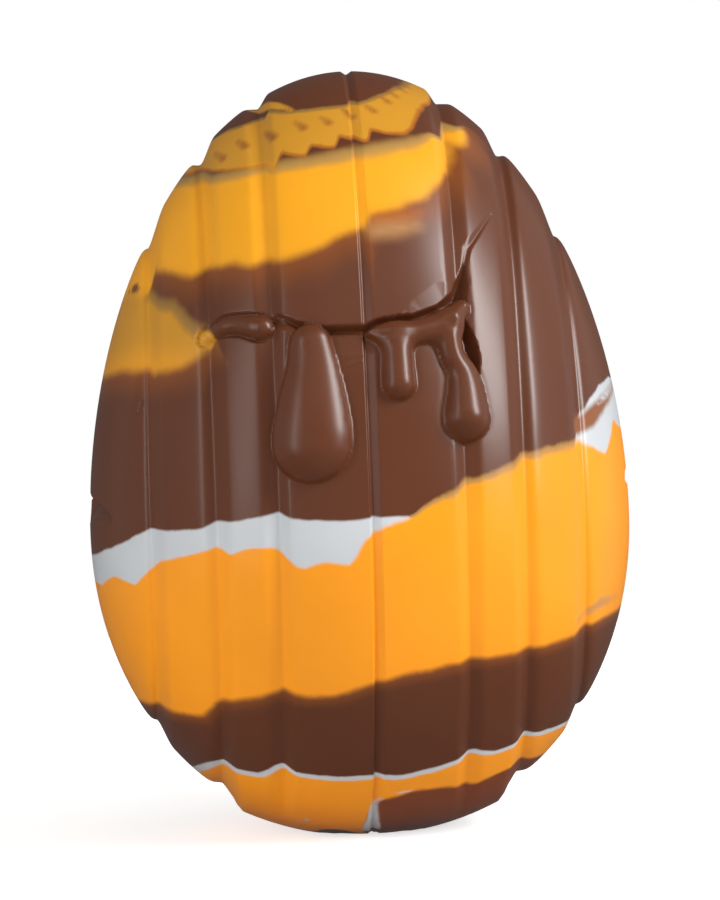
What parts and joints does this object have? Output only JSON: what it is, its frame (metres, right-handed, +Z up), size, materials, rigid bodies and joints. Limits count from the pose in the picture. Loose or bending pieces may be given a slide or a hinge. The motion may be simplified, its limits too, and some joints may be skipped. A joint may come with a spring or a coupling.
{
  "type": "chocolate egg",
  "caption": "Moulded chocolate Easter egg with stepped lengthwise staves, a crack across its front and set drips, marbled brown, orange and white.",
  "frame": {"origin": "middle of the flat foot under the blunt end", "axes": "+Z up along the egg's long axis, the front with its crack and drips faces -Y, +X is to the right seen from the front"},
  "size_m": [0.107, 0.1108, 0.15],
  "materials": {
    "chocolate": "satin milk chocolate marbled with bands of orange and white chocolate"
  },
  "bodies": {
    "root": {"egg": "chocolate"}
  },
  "joints": []
}
